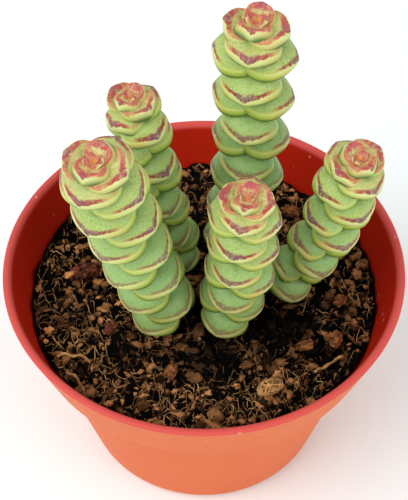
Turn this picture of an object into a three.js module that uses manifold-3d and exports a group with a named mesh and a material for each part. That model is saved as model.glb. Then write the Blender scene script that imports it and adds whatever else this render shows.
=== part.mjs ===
// A potted stacked-leaf succulent: five leafy stems, each a column of thick leaf pairs set
// crosswise, standing in a shallow round nursery pot of coarse bark and coir mix.
// Millimetres, +Z up. The origin is the centre of the pot's underside; the viewer stands on -Y.
import * as THREE from "three";
import { mergeVertices } from "three/addons/utils/BufferGeometryUtils.js";
import Module from "manifold-3d";

const wasm = await Module();
wasm.setup();

// Driving dimensions
const POT = {
  height: 37,
  rimRadius: 30,
  lipWidth: 1.3,
  lipRound: 0.35,
  collarHeight: 10.5, // the flared band under the rim
  collarRadius: 26.6, // at the band's lower edge
  neckRadius: 24.9, // of the wall just under the band
  ledgeFoot: 0.3, // the inside steps out this far above the outer step
  footRadius: 18.6,
  footRound: 1.6,
  footRecess: 0.8, // the underside is hollowed inside a narrow standing ring
  standingRing: 3.6,
  wall: 1.0,
  floor: 1.6,
  drainRadius: 2.6,
  drainCircle: 11,
  drainCount: 4,
  sides: 48,
};
const SOIL = {
  drop: 6.0, // from the rim down to the mean surface
  wallGap: 0.3,
  edgeGap: 0.35, // the mix has shrunk a little from the wall at its top edge
  edgeDepth: 2.4,
  edgeFall: 0.6,
  pitDepth: 0.6, // of the flat hollow round each stem, under the mean surface
  pitRadius: 5.2,
  pitBlend: 2.4,
  rings: 11,
  sectors: 40,
};
const CORE = { radius: 1.4, sides: 8, buried: 9, bare: 3, holeGap: 0.3, steps: 5 };
const PAIR = {
  around: 16,
  levels: 4,
  spacing: 4.15, // up the stem, between one pair and the next
  top: 0.53, // height over and depth under the keel, as shares of the spacing
  under: 0.7,
  lobeCentre: 0.3, // shares of a leaf's reach from the stem's axis
  lobeHalfWidth: 0.73,
  point: 0.06,
  topFullness: 0.16,
  underFullness: 0.4,
};
// A pair by its age, counted in pairs from the bud: reach as a share of a full leaf, how far its
// tips lift as a share of that reach, the share of the spacing down to the next pair, and how far
// its upper face is domed. The young pairs are hollow there and hold the ones above them.
const HEAD = [
  { reach: 0.17, lift: 0.9, rise: 0.095, dome: 0.5 },
  { reach: 0.415, lift: 0.575, rise: 0.27, dome: 0.3 },
  { reach: 0.725, lift: 0.21, rise: 0.345, dome: 0.4 },
  { reach: 0.855, lift: 0.115, rise: 0.645, dome: 0.7 },
  { reach: 0.98, lift: 0.073, rise: 0.92, dome: 0.95 },
  { reach: 1, lift: 0.05, rise: 1, dome: 1 },
];
// Bark chips and clods that stand out on the mix: place, half sizes and turn in degrees.
const CHIPS = [
  { at: [-18.4, 3.0], half: [2.2, 1.7, 1.2], turn: 20 },
  { at: [-13.9, -7.6], half: [1.3, 0.9, 0.7], turn: 65 },
  { at: [-5.0, -15.2], half: [1.7, 0.9, 0.6], turn: 75 },
  { at: [9.5, -18.3], half: [1.9, 1.2, 0.8], turn: 25 },
  { at: [14.9, -10.8], half: [1.4, 0.9, 0.7], turn: 10 },
  { at: [19.3, -9.8], half: [1.3, 1.1, 0.8], turn: 100 },
  { at: [20.6, -2.6], half: [1.3, 1.0, 0.8], turn: 50 },
  { at: [13.8, 15.6], half: [1.6, 1.0, 0.8], turn: 160 },
  { at: [-13.2, 14.8], half: [1.5, 1.1, 0.8], turn: 40 },
];
// Bits of straw and root lying in the mix: their two ends and their radius.
const STRAWS = [
  { from: [16.0, -15.8], to: [20.3, -13.2], radius: 0.32 },
  { from: [-21.4, -13.2], to: [-16.6, -13.6], radius: 0.32 },
  { from: [-20.0, -15.4], to: [-17.2, -18.6], radius: 0.34 },
];
const BITS = { sink: 0.3, lift: 0.12, bow: 0.5, steps: 6, sides: 6, gap: 0.34 };
// One entry for each stem: where it leaves the soil, its bend and crown, its leaf pairs, the age
// of its bud, the azimuth of the bud pair in degrees from +X, how far each pair is turned past
// crosswise, how much wider its pairs stand at the foot than at the crown, and its leaf reach at
// the foot and near the crown.
const STEMS = [
  {
    name: "stem_front_left",
    root: [-5.8, -4.9],
    bend: [-9.1, -10.6, 52.1],
    crown: [-13.1, -17.1, 77.2],
    pairs: 14,
    age: 0.12,
    azimuth: 334.5,
    twist: -0.87,
    widening: 0.42,
    footReach: 5.2,
    crownReach: 5.75,
  },
  {
    name: "stem_back_left",
    root: [-3.6, 5.7],
    bend: [-6.3, 1.6, 47.9],
    crown: [-9.6, 0, 71.2],
    pairs: 13,
    age: 0,
    azimuth: 326.2,
    twist: -3,
    widening: 0.4,
    footReach: 3.9,
    crownReach: 4.8,
  },
  {
    name: "stem_back_centre",
    root: [4.6, 8.2],
    bend: [6.35, 5.8, 52.8],
    crown: [6.7, 4.35, 80.3],
    pairs: 15,
    age: 0.19,
    azimuth: 342.8,
    twist: 0.71,
    widening: 0.2,
    footReach: 4.8,
    crownReach: 5.8,
  },
  {
    name: "stem_front_centre",
    root: [3.5, -5.5],
    bend: [4.85, -9.7, 47.9],
    crown: [5.4, -14.3, 67.6],
    pairs: 12,
    age: 0,
    azimuth: 349.6,
    twist: -1.2,
    widening: 0.59,
    footReach: 4.8,
    crownReach: 4.87,
  },
  {
    name: "stem_right",
    root: [12, 0.5],
    bend: [17, -1.9, 45.1],
    crown: [20.1, -6.7, 66.7],
    pairs: 12,
    age: 0.1,
    azimuth: 222.6,
    twist: -2.86,
    widening: 0.14,
    footReach: 4.3,
    crownReach: 5.13,
  },
];

const soilLevel = POT.height - SOIL.drop;
const collarFoot = POT.height - POT.collarHeight;
const upright = new THREE.Vector3(0, 0, 1);

const COLOURS = {
  pot: { color: 0xd9583f, roughness: 0.42 },
  soil: { color: 0x3a271a, roughness: 0.95 },
  leaf: { color: 0x86b552, roughness: 0.5 },
  bark: { color: 0x8a5a34, roughness: 0.9 },
};

function material({ color, roughness }) {
  return new THREE.MeshStandardMaterial({ color, roughness, metalness: 0 });
}

// A closed three.js geometry as a manifold solid.
function solidFrom(geometry) {
  const bare = geometry.clone();
  bare.deleteAttribute("normal");
  bare.deleteAttribute("uv");
  const merged = mergeVertices(bare, 1e-4);
  const corners = [];
  const index = merged.index.array;
  for (let i = 0; i < index.length; i += 3) {
    const [a, b, c] = [index[i], index[i + 1], index[i + 2]];
    if (a !== b && b !== c && c !== a) corners.push(a, b, c);
  }
  const mesh = new wasm.Mesh({
    numProp: 3,
    vertProperties: merged.attributes.position.array,
    triVerts: new Uint32Array(corners),
  });
  return new wasm.Manifold(mesh);
}

function geometryFrom(solid) {
  const mesh = solid.getMesh();
  const geometry = new THREE.BufferGeometry();
  geometry.setAttribute("position", new THREE.BufferAttribute(mesh.vertProperties, 3));
  geometry.setIndex(new THREE.BufferAttribute(mesh.triVerts, 1));
  geometry.computeVertexNormals();
  return geometry;
}

function named(name, solid, look) {
  const mesh = new THREE.Mesh(geometryFrom(solid), material(look));
  mesh.name = name;
  return mesh;
}

// A profile of [radius, height] points turned about the Z axis.
function turned(points, sides) {
  const profile = points.map(([r, z]) => new THREE.Vector2(r, z));
  return new THREE.LatheGeometry(profile, sides).rotateX(Math.PI / 2);
}

function mix(a, b, t) {
  return a + (b - a) * t;
}

// The pot's outer radius at a height: foot to neck, then the flared band.
function outerRadius(z) {
  if (z < collarFoot) return mix(POT.footRadius, POT.neckRadius, z / collarFoot);
  return mix(POT.collarRadius, POT.rimRadius, (z - collarFoot) / POT.collarHeight);
}

// The inside follows the outside, and its band starts one wall thickness above the outer step.
function innerRadius(z) {
  const step = collarFoot + POT.wall;
  if (z < step) return outerRadius(Math.min(z, collarFoot - 0.01)) - POT.wall;
  const lipInside = POT.rimRadius - POT.lipWidth;
  return mix(POT.collarRadius - POT.wall, lipInside, (z - step) / (POT.height - step));
}

function potSolid() {
  const { height, rimRadius, lipWidth, lipRound, footRadius, footRound } = POT;
  const ringInside = footRadius - POT.standingRing;
  const outline = [
    [0, POT.footRecess],
    [ringInside - 0.6, POT.footRecess],
    [ringInside, 0],
    [footRadius - footRound, 0],
    [footRadius - footRound * 0.3, footRound * 0.3],
    [outerRadius(footRound), footRound],
    [POT.neckRadius, collarFoot - 0.5],
    [POT.collarRadius, collarFoot],
    [outerRadius(height - lipRound), height - lipRound],
    [rimRadius - lipRound, height],
    [rimRadius - lipWidth + lipRound, height],
    [rimRadius - lipWidth, height - lipRound],
    [innerRadius(collarFoot + POT.wall + 0.01), collarFoot + POT.wall],
    [POT.neckRadius - POT.wall, collarFoot + POT.ledgeFoot],
    [innerRadius(POT.floor), POT.floor],
    [0, POT.floor],
  ];
  let pot = solidFrom(turned(outline, POT.sides));
  const drain = new THREE.CylinderGeometry(POT.drainRadius, POT.drainRadius, 3 * POT.floor, 16);
  drain.rotateX(Math.PI / 2);
  for (let i = 0; i < POT.drainCount; i += 1) {
    const turn = ((i + 0.5) / POT.drainCount) * 2 * Math.PI;
    const hole = drain.clone();
    hole.translate(POT.drainCircle * Math.cos(turn), POT.drainCircle * Math.sin(turn), POT.floor / 2);
    pot = pot.subtract(solidFrom(hole));
  }
  return pot;
}

// Clods and hollows of the potting mix, in mm above or below its mean surface.
function relief(x, y) {
  const coarse = 0.55 * Math.sin(0.61 * x + 1.3 * Math.sin(0.37 * y + 0.6)) * Math.cos(0.53 * y + 0.9);
  const clods = 0.5 * Math.sin(1.31 * x + 0.8 * Math.sin(0.9 * y)) * Math.sin(1.17 * y - 0.7 * Math.sin(x));
  const crumbs = 0.22 * Math.sin(2.3 * x + 1.9) * Math.cos(2.1 * y + 0.4 * x);
  return coarse + clods + crumbs;
}

function soilHeight(x, y) {
  let height = soilLevel + relief(x, y);
  for (const { root } of STEMS) {
    const away = Math.hypot(x - root[0], y - root[1]) - SOIL.pitRadius;
    const level = THREE.MathUtils.smoothstep(away, 0, SOIL.pitBlend);
    height = mix(soilLevel - SOIL.pitDepth, height, level);
  }
  return height;
}

// The largest of a solid's separate bodies: what a cut has shaved off is dropped.
function largest(solid) {
  return solid.decompose().sort((a, b) => b.volume() - a.volume())[0];
}

function soilSolid(cuts) {
  const shoulder = soilLevel - SOIL.edgeDepth;
  const ledgeTop = collarFoot + POT.wall;
  const topRadius = innerRadius(soilLevel) - SOIL.wallGap - SOIL.edgeGap;
  const outline = [
    [0, POT.floor],
    [innerRadius(POT.floor) - SOIL.wallGap, POT.floor],
    [POT.neckRadius - POT.wall - SOIL.wallGap, collarFoot + POT.ledgeFoot],
    [innerRadius(ledgeTop) - SOIL.wallGap, ledgeTop + SOIL.wallGap],
    [innerRadius(shoulder) - SOIL.wallGap, shoulder],
  ];
  for (let ring = SOIL.rings; ring >= 0; ring -= 1) {
    outline.push([(topRadius * ring) / SOIL.rings, soilLevel]);
  }
  const geometry = turned(outline, SOIL.sectors);
  const position = geometry.attributes.position;
  for (let i = 0; i < position.count; i += 1) {
    if (position.getZ(i) < soilLevel - 0.01) continue;
    const [x, y] = [position.getX(i), position.getY(i)];
    const edge = Math.hypot(x, y) / topRadius;
    position.setZ(i, soilHeight(x, y) - SOIL.edgeFall * edge ** 8);
  }
  let soil = solidFrom(geometry);
  for (const cut of cuts) soil = soil.subtract(cut);
  return largest(soil);
}

function axisOf(stem) {
  const root = new THREE.Vector3(...stem.root, soilLevel);
  const buried = root.clone().setZ(soilLevel - CORE.buried);
  const bend = new THREE.Vector3(...stem.bend);
  const crown = new THREE.Vector3(...stem.crown);
  return new THREE.CatmullRomCurve3([buried, root, bend, crown], false, "centripetal");
}

// A round bar of flat facets along a curve.
function tubeAlong(curve, radius, sides, steps) {
  const section = new THREE.Shape();
  for (let i = 0; i < sides; i += 1) {
    const turn = (i / sides) * 2 * Math.PI;
    const corner = [radius * Math.cos(turn), radius * Math.sin(turn)];
    if (i) section.lineTo(...corner);
    else section.moveTo(...corner);
  }
  section.closePath();
  return solidFrom(
    new THREE.ExtrudeGeometry(section, { steps, extrudePath: curve, bevelEnabled: false }),
  );
}

// The bare foot of a stem, from its buried end up into the lowest pairs of leaves.
function coreSolid(axis, radius) {
  const top = CORE.buried + CORE.bare + PAIR.spacing;
  const points = [];
  for (let i = 0; i <= CORE.steps; i += 1) {
    points.push(axis.getPointAt(((i / CORE.steps) * top) / axis.getLength()));
  }
  return tubeAlong(new THREE.CatmullRomCurve3(points), radius, CORE.sides, CORE.steps);
}

// Reach of a pair's outline at an angle from its leaf tip: two ovals whose ends leave a cleft.
function lobeRadius(angle) {
  const { lobeCentre, lobeHalfWidth, point } = PAIR;
  const long = 1 - lobeCentre;
  const c = Math.abs(Math.cos(angle));
  const s = Math.sin(angle);
  const a = (c * c) / (long * long) + (s * s) / (lobeHalfWidth * lobeHalfWidth);
  const b = (c * lobeCentre) / (long * long);
  const d = (lobeCentre * lobeCentre) / (long * long) - 1;
  return ((b + Math.sqrt(b * b - a * d)) / a) * (1 + point * c ** 8);
}

// Two thick leaves joined round the stem, with their tips along +X and -X: a ball squashed to
// two blunt-pointed lobes. Its widest ring is the keel that carries the red line.
function pairGeometry(reach, thickness, lift, dome) {
  const pair = new THREE.SphereGeometry(1, PAIR.around, PAIR.levels);
  pair.rotateX(Math.PI / 2);
  const position = pair.attributes.position;
  for (let i = 0; i < position.count; i += 1) {
    const [x, y, z] = [position.getX(i), position.getY(i), position.getZ(i)];
    const fullness = z > 0 ? PAIR.topFullness : PAIR.underFullness;
    const swell = 1 + fullness * Math.min(1, 4 * Math.abs(z)) * (1 - z * z);
    const out = reach * lobeRadius(Math.atan2(y, x)) * swell;
    const height = thickness * (z > 0 ? PAIR.top * dome : PAIR.under) * z;
    position.setXYZ(i, out * x, out * y, height + Math.abs(out * x) * lift);
  }
  return pair;
}

// Puts a pair on the stem, square to its axis and turned about it.
function placedPair({ reach, thickness, lift, dome }, azimuth, point, tangent) {
  const pair = pairGeometry(reach, thickness, lift, dome);
  const turn = new THREE.Matrix4().makeRotationZ(THREE.MathUtils.degToRad(azimuth));
  const lean = new THREE.Matrix4().makeRotationFromQuaternion(
    new THREE.Quaternion().setFromUnitVectors(upright, tangent),
  );
  const place = new THREE.Matrix4().makeTranslation(point);
  pair.applyMatrix4(place.multiply(lean).multiply(turn));
  return solidFrom(pair);
}

// A pair at any age, read between the rows of HEAD.
function headAt(age) {
  const last = HEAD.length - 1;
  const row = Math.min(last - 1, Math.floor(age));
  const t = Math.min(1, age - row);
  const [from, to] = [HEAD[row], HEAD[row + 1]];
  return {
    reach: mix(from.reach, to.reach, t),
    lift: mix(from.lift, to.lift, t),
    rise: mix(from.rise, to.rise, t),
    dome: mix(from.dome, to.dome, t),
  };
}

// The pairs from the crown down: where each stands along the axis, its size and its lift.
function leafPairs(stem, axis) {
  const length = axis.getLength();
  const foot = CORE.buried + CORE.bare;
  const pairs = [];
  let below = 0;
  for (let i = 0; i < stem.pairs; i += 1) {
    const head = headAt(stem.age + i);
    const down = i / (stem.pairs - 1);
    const full = mix(stem.crownReach, stem.footReach, down ** 1.5);
    const wide = 1 + stem.widening * down;
    pairs.push({ ...head, below, reach: full * head.reach, thickness: wide * head.reach });
    below += head.rise * wide;
  }
  const spacing = (length - foot) / pairs[pairs.length - 1].below;
  return pairs.map((pair) => ({
    ...pair,
    along: 1 - (pair.below * spacing) / length,
    thickness: pair.thickness * spacing,
  }));
}

function stemSolid(stem, axis) {
  let solid = coreSolid(axis, CORE.radius);
  leafPairs(stem, axis).forEach((pair, i) => {
    const [point, tangent] = [axis.getPointAt(pair.along), axis.getTangentAt(pair.along)];
    solid = solid.add(placedPair(pair, stem.azimuth + (90 + stem.twist) * i, point, tangent));
  });
  return solid;
}

// A rough chip, half sunk in the mix. Its pocket is the same shape, a little larger.
function chipSolid({ at, half, turn }, gap) {
  const chip = new THREE.IcosahedronGeometry(1, 0);
  chip.rotateX(0.4 + turn);
  chip.scale(half[0] + gap, half[1] + gap, half[2] + gap);
  chip.rotateZ(THREE.MathUtils.degToRad(turn));
  chip.translate(at[0], at[1], soilHeight(...at) + half[2] * BITS.sink);
  return solidFrom(chip);
}

// A straw that follows the mix's surface from one end to the other, with a slight bow.
function strawSolid({ from, to, radius }, gap) {
  const points = [];
  for (let i = 0; i <= BITS.steps; i += 1) {
    const t = i / BITS.steps;
    const bow = BITS.bow * Math.sin(Math.PI * t);
    const [x, y] = [mix(from[0], to[0], t) + 0.4 * bow, mix(from[1], to[1], t) + bow];
    points.push(new THREE.Vector3(x, y, soilHeight(x, y) + radius + BITS.lift));
  }
  const path = new THREE.CatmullRomCurve3(points);
  return tubeAlong(path, radius + gap, BITS.sides, BITS.steps);
}

const plant = new THREE.Group();
const axes = STEMS.map(axisOf);
const bits = [
  ...CHIPS.map((chip, i) => ({ name: `bark_chip_${i + 1}`, make: (gap) => chipSolid(chip, gap) })),
  ...STRAWS.map((straw, i) => ({ name: `straw_${i + 1}`, make: (gap) => strawSolid(straw, gap) })),
];
const hollows = [
  ...axes.map((axis) => coreSolid(axis, CORE.radius + CORE.holeGap)),
  ...bits.map((bit) => bit.make(BITS.gap)),
];
plant.add(named("pot", potSolid(), COLOURS.pot));
plant.add(named("soil", soilSolid(hollows), COLOURS.soil));
STEMS.forEach((stem, i) => plant.add(named(stem.name, stemSolid(stem, axes[i]), COLOURS.leaf)));
bits.forEach((bit) => plant.add(named(bit.name, bit.make(0), COLOURS.bark)));

export default plant;
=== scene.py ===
"""Dresses a small potted succulent: five columns of thick leaf pairs in a red-orange nursery pot."""
import math

import bmesh
import bpy
import numpy as np
from mathutils import Matrix, Vector, noise


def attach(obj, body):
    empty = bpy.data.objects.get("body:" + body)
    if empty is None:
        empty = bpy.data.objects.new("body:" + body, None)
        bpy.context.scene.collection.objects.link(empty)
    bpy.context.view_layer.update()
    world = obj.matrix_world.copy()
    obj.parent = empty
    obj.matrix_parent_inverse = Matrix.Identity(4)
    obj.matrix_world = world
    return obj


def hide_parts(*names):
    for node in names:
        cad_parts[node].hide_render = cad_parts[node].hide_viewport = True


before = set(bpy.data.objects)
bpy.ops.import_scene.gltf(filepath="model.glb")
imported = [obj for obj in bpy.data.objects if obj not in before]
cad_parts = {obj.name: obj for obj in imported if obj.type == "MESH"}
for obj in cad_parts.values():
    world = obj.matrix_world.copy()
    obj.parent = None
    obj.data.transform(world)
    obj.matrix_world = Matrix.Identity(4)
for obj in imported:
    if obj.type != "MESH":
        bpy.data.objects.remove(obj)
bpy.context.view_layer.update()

bl_info = {
    "name": "Potted stacked-leaf succulent",
    "version": (1, 0, 0),
    "blender": (4, 5, 0),
    "location": "View3D > Sidebar > Succulent",
    "description": "Builds a small pot of stacked-leaf succulent, with its potting mix and stage",
    "category": "Add Mesh",
}

MM = 0.001
BODY = "root"


def srgb(red, green, blue):
    """A colour as it is seen on a screen, 0 to 255, as the linear light that Blender works in."""
    shares = [channel / 255 for channel in (red, green, blue)]
    return tuple(c / 12.92 if c <= 0.04045 else ((c + 0.055) / 1.055) ** 2.4 for c in shares)


# Sizes of the solids, in millimetres, that the finer pieces follow
POT = {
    "height": 37.0, "rim": 30.0, "lip": 1.3, "lip_round": 0.35, "collar_height": 10.5,
    "collar": 26.6, "neck": 24.9, "ledge_foot": 0.3, "foot": 18.6, "foot_round": 1.6,
    "recess": 0.8, "recess_bevel": 0.6, "ring": 3.6, "wall": 1.0, "floor": 1.6, "fillet": 0.5,
    "edge": 0.35, "lip_band": 0.6, "drain": 2.6, "drain_circle": 11.0, "drains": 4,
}
SOIL_LEVEL = 31.0
SOIL = {
    "wall_gap": 0.3, "edge_gap": 0.35, "edge_depth": 2.4, "edge_fall": 0.6, "pit_depth": 0.6,
    "pit_radius": 5.2, "pit_blend": 2.4,
}
CORE = {"radius": 1.4, "buried": 9.0, "bare": 3.0, "start": 0.2, "steps": 12, "sides": 20}
SPACING = 4.15
# A pair by its age in pairs from the bud: reach, lift of the tips and rise to the next pair
HEAD = [
    (0.17, 0.9, 0.095), (0.415, 0.575, 0.27), (0.725, 0.21, 0.345), (0.855, 0.115, 0.645),
    (0.98, 0.073, 0.92), (1.0, 0.05, 1.0),
]
STEMS = {
    "stem_front_left": {
        "root": (-5.8, -4.9), "bend": (-9.1, -10.6, 52.1), "crown": (-13.1, -17.1, 77.2),
        "pairs": 14, "age": 0.12, "azimuth": 334.5, "twist": -0.87, "widening": 0.42,
        "reach": (5.75, 5.2),
    },
    "stem_back_left": {
        "root": (-3.6, 5.7), "bend": (-6.3, 1.6, 47.9), "crown": (-9.6, 0.0, 71.2),
        "pairs": 13, "age": 0.0, "azimuth": 326.2, "twist": -3.0, "widening": 0.4,
        "reach": (4.8, 3.9),
    },
    "stem_back_centre": {
        "root": (4.6, 8.2), "bend": (6.35, 5.8, 52.8), "crown": (6.7, 4.35, 80.3),
        "pairs": 15, "age": 0.19, "azimuth": 342.8, "twist": 0.71, "widening": 0.2,
        "reach": (5.8, 4.8),
    },
    "stem_front_centre": {
        "root": (3.5, -5.5), "bend": (4.85, -9.7, 47.9), "crown": (5.4, -14.3, 67.6),
        "pairs": 12, "age": 0.0, "azimuth": 349.6, "twist": -1.2, "widening": 0.59,
        "reach": (4.87, 4.8),
    },
    "stem_right": {
        "root": (12.0, 0.5), "bend": (17.0, -1.9, 45.1), "crown": (20.1, -6.7, 66.7),
        "pairs": 12, "age": 0.1, "azimuth": 222.6, "twist": -2.86, "widening": 0.14,
        "reach": (5.13, 4.3),
    },
}
# Steps of the pot's rounded corners, and sides of its drain holes
ROUND_STEPS = 5
DRAIN_SIDES = 40
# Bark chips and clods: node, place, half sizes, turn in degrees and kind
CHIPS = [
    ("bark_chip_1", (-18.4, 3.0), (2.2, 1.7, 1.2), 20, "clod"),
    ("bark_chip_2", (-13.9, -7.6), (1.3, 0.9, 0.7), 65, "clod"),
    ("bark_chip_3", (-5.0, -15.2), (1.7, 0.9, 0.6), 75, "bark"),
    ("bark_chip_4", (9.5, -18.3), (1.9, 1.2, 0.8), 25, "coir"),
    ("bark_chip_5", (14.9, -10.8), (1.4, 0.9, 0.7), 10, "bark"),
    ("bark_chip_6", (19.3, -9.8), (1.3, 1.1, 0.8), 100, "bark"),
    ("bark_chip_7", (20.6, -2.6), (1.3, 1.0, 0.8), 50, "bark"),
    ("bark_chip_8", (13.8, 15.6), (1.6, 1.0, 0.8), 160, "bark"),
    ("bark_chip_9", (-13.2, 14.8), (1.5, 1.1, 0.8), 40, "clod"),
]
STRAWS = [
    ("straw_1", (16.0, -15.8), (20.3, -13.2), 0.32),
    ("straw_2", (-21.4, -13.2), (-16.6, -13.6), 0.32),
    ("straw_3", (-20.0, -15.4), (-17.2, -18.6), 0.34),
]
# Hollows between the stems, darkened nearly to black with painted shade: place and size
SHADED_HOLLOWS = [
    (-1.0, -2.5, 4.5), (10.0, -6.0, 5.5), (-8.0, 9.5, 5.0), (0.5, 11.0, 4.0), (15.0, -6.5, 4.0),
    (-11.5, -11.5, 3.0), (-1.0, -12.5, 4.0), (3.5, -11.5, 3.5), (18.5, -13.0, 3.0),
]
HOLLOW_SHADE = 0.96
# Relief of the mix, from clumps to pores: waves to a millimetre, height and seed
CLUMPS = (0.55, 1.05, 3.0)
GRAINS = (1.9, 0.4, 8.0)
SHREDS = (4.1, 0.16, 12.0)
PORES = (2.2, 0.14, 3.0)
CLUMP_MIDDLE = 0.75
# Loose crumbs and flakes of bark, in millimetres, with turns in radians
CRUMB = {
    "seed": 11, "clear": 2.0, "forms": 24, "log_size": (-1.15, 0.5), "size": (0.14, 1.0),
    "flakes": 0.035, "flake_size": (0.7, 1.3), "spin": (0, 6.28), "tilt": (-0.8, 0.8),
    "flake_depth": (0.2, 0.35), "depth": (0.3, 0.8), "width": (0.35, 0.85), "lift": 0.12,
    "flake_tone": (0.4, 0.8), "darkness": 1.5,
}
# Chips and clods: flat cuts that break a ball, then rounds of noise as seed, amount and waves
CHIP = {
    "detail": 5, "seed": 100, "cuts": 11, "clod_cuts": 6, "cut_depth": (0.62, 0.9),
    "lumps": [(3, 0.3, 1.9), (9, 0.22, 4.5), (5, 0.12, 10.0)], "coir_size": 0.8, "coir_tone": 0.3,
}
# The coir fibres that are wound round one chip, as shares of its size
WRAP = {
    "seed": 300, "fibres": 90, "steps": 12, "spread": (0.8, 2.4), "lift": (0.84, 1.06),
    "wave": 0.06, "waves": 9, "drift": 0.12, "radius": (0.04, 0.09), "sides": 5,
    "tone": (0.65, 0.25),
}
# The larger straws: their steps and faces, their bend, and shares of their radius
STRAW = {
    "steps": 40, "sides": 14, "bend": 0.4, "thickness": 0.62, "uneven": 0.34, "waves": 0.4,
    "end": 0.6, "tone": 0.5,
}
# Coir fibres, in millimetres, and the share of them that is kept behind the line where y is BACK
FIBRE = {
    "seed": 23, "clear": 4.0, "log_length": (0.45, 0.5), "length": (0.7, 5.5), "radius": 0.02,
    "thicker": 0.05, "sides": 4, "steps": 8, "curl": 0.17, "waver": 0.18, "rise": (0.0, 0.55),
    "tilt": (-0.5, 0.5), "lift": 0.06, "darkness": 1.1, "behind": 0.55,
}
BACK = -4
MIX_REACH = 0.985
BIT_LIFT = 0.12
BIT_SINK = 0.3
BOW = 0.5

# How the photograph was taken, in millimetres and degrees
CAMERA = {
    "distance": 210.0, "elevation": 51.03, "pitch": 50.51, "lens": 101.72, "sensor": 36.0,
    "near": 10.0,
}
# The lights' size and place, and the point that they face, in metres
KEY = {"size": 0.7, "place": (-0.46, -0.28, 0.6)}
FILL = {"size": 0.6, "place": (0.55, -0.4, 0.35)}
LIT_POINT = (0.0, 0.0, 0.04)
FLOOR_SIDES = 96
FLOOR_SHADE = 0.985

# The finer leaf: its outline round its own middle, as shares of its reach. Where there are two
# values, the first is for a pointed young leaf and the second for a rounder old one. By its ends
# the leaf that overlaps its partner is wider ("widen"), nearer the stem ("shift") and higher.
LEAF = {
    "around": 64, "long": (0.72, 0.64), "half_width": 0.71, "side_distance": (0.666, 0.738),
    "side_normal": 22.0, "corner": 5, "outer_side": -40.0, "nose": (25.0, 85.0),
    "widen": 0.06, "shift": 0.05, "raise": 0.08, "line_bow": 0.42, "line_arm": 75.0,
}
# How far from the stem's axis a leaf's middle lies, as a share of its reach
LOBE_CENTRE = 0.42
# Ages, in pairs from the bud, between which a leaf stops being a bud, grows up and gets old
BUD_AGES = (1.25, 1.9)
YOUNG_AGES = (1.5, 4.0)
OLD_AGES = (4.0, 10.0)
# How grown leaves stray: turn in degrees, share of the size, nod, and dents with their waves
STRAY = {"turn": 1.5, "size": 0.015, "nod": 0.03, "dents": 0.01, "waves": 0.45, "seeds": 40}
# A leaf's section from its top to its underside: share of the outline, share of the thickness.
# One is at the tip, one at its two ends, one on the young leaves of the crown, which are hollow,
# and one on the bud, which widens downwards. The red line runs along the row numbered LINE_ROW.
TIP_SECTION = [
    (0.0, 0.53), (0.2, 0.52), (0.4, 0.485), (0.56, 0.43), (0.69, 0.36), (0.79, 0.275),
    (0.865, 0.19), (0.93, 0.09), (0.975, 0.0), (0.99, -0.04), (0.998, -0.075), (1.0, -0.11),
    (0.985, -0.155), (0.95, -0.21), (0.885, -0.285), (0.77, -0.39), (0.58, -0.52), (0.3, -0.65),
    (0.0, -0.7),
]
END_SECTION = [
    (0.0, 0.53), (0.2, 0.52), (0.38, 0.49), (0.53, 0.445), (0.65, 0.39), (0.74, 0.325),
    (0.815, 0.25), (0.875, 0.17), (0.925, 0.08), (0.96, 0.0), (0.985, -0.08), (1.0, -0.17),
    (0.99, -0.26), (0.95, -0.35), (0.87, -0.44), (0.73, -0.53), (0.52, -0.62), (0.26, -0.69),
    (0.0, -0.7),
]
YOUNG_SECTION = [
    (0.0, 0.05), (0.2, 0.05), (0.4, 0.07), (0.56, 0.1), (0.7, 0.14), (0.8, 0.18),
    (0.88, 0.2), (0.93, 0.19), (0.965, 0.15), (0.985, 0.09), (0.997, 0.0), (1.0, -0.1),
    (0.995, -0.22), (0.97, -0.35), (0.91, -0.48), (0.8, -0.6), (0.6, -0.72), (0.3, -0.8),
    (0.0, -0.82),
]
BUD_SECTION = [
    (0.0, 0.05), (0.2, 0.05), (0.4, 0.07), (0.56, 0.1), (0.7, 0.14), (0.8, 0.18),
    (0.88, 0.2), (0.93, 0.19), (0.965, 0.14), (0.99, 0.07), (1.02, -0.02), (1.07, -0.14),
    (1.13, -0.28), (1.2, -0.42), (1.28, -0.56), (1.33, -0.7), (1.1, -0.85), (0.6, -0.93),
    (0.0, -0.95),
]
LINE_ROW = 8


def mix(a, b, t):
    return a + (b - a) * t


def smoothstep(value, low, high):
    t = np.clip((value - low) / (high - low), 0.0, 1.0)
    return t * t * (3 - 2 * t)


# Surfaces that the pieces stand on


def outer_radius(z):
    """The pot's outer radius at a height, in millimetres."""
    foot = POT["height"] - POT["collar_height"]
    if z < foot:
        return mix(POT["foot"], POT["neck"], z / foot)
    return mix(POT["collar"], POT["rim"], (z - foot) / POT["collar_height"])


def inner_radius(z):
    """The pot's inner radius at a height, in millimetres."""
    foot = POT["height"] - POT["collar_height"]
    step = foot + POT["wall"]
    if z < step:
        return outer_radius(min(z, foot - 0.01)) - POT["wall"]
    share = (z - step) / (POT["height"] - step)
    return mix(POT["collar"] - POT["wall"], POT["rim"] - POT["lip"], share)


SOIL_RADIUS = inner_radius(SOIL_LEVEL) - SOIL["wall_gap"] - SOIL["edge_gap"]


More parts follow.
